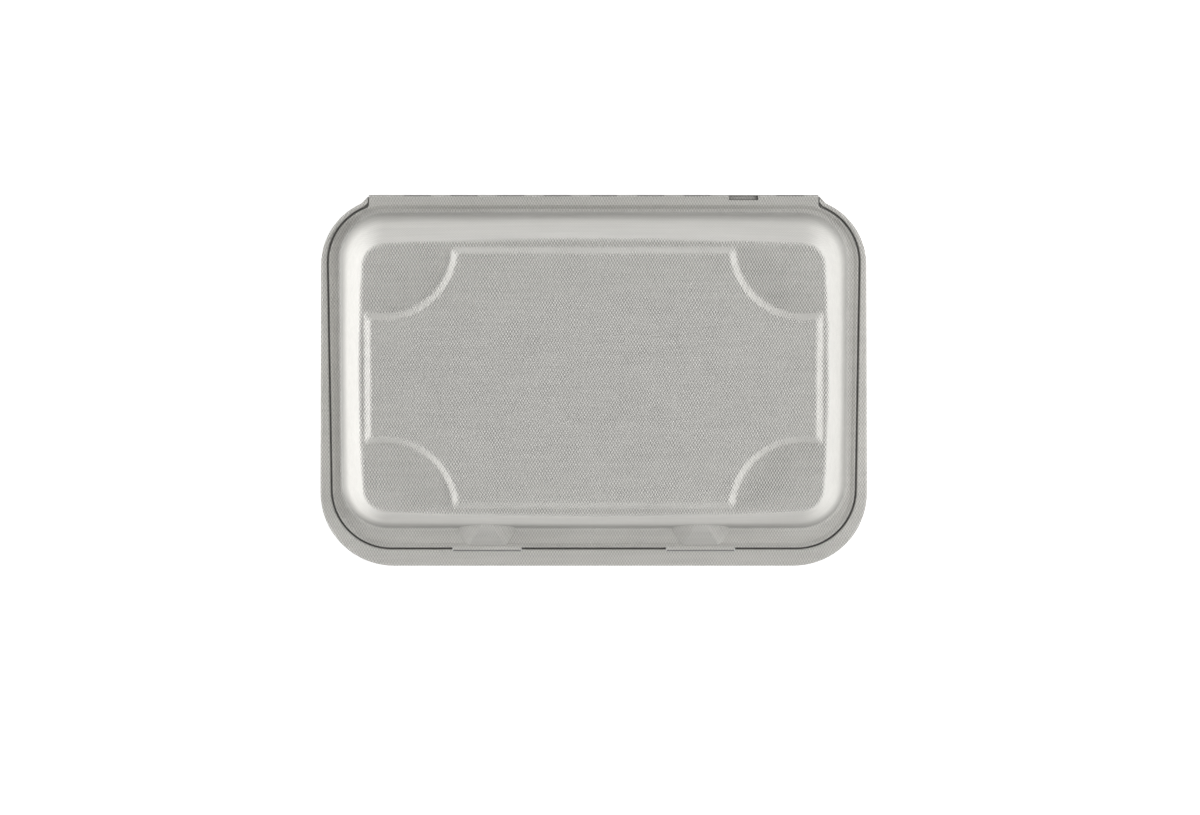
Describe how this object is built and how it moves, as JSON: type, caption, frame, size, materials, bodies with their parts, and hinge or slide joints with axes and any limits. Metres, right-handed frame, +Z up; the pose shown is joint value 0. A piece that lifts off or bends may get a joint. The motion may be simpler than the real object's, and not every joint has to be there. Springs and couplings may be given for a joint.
{
  "type": "bagasse clamshell container",
  "caption": "Hinged food box moulded from sugar-cane pulp: a drafted tray and a domed lid that folds shut along the back, with lock tabs in front.",
  "frame": {"origin": "under the middle of the closed box, on the surface it stands on", "axes": "+X along the fold, to the right seen from the front; +Y to the back, where the fold is; -Y to the front with the lock tabs; +Z up"},
  "size_m": [0.2352, 0.1598, 0.0763],
  "materials": {
    "pulp": "matt moulded pulp with a fine mesh texture"
  },
  "bodies": {
    "base": {"base_tray": "pulp"},
    "lid": {"lid": "pulp"}
  },
  "joints": [
    {"name": "lid_hinge", "type": "hinge", "parent": "base", "child": "lid", "pos_m": [0, 0.0791, 0.04015], "axis": [-1, 0, 0], "range_deg": [0, 180]}
  ]
}
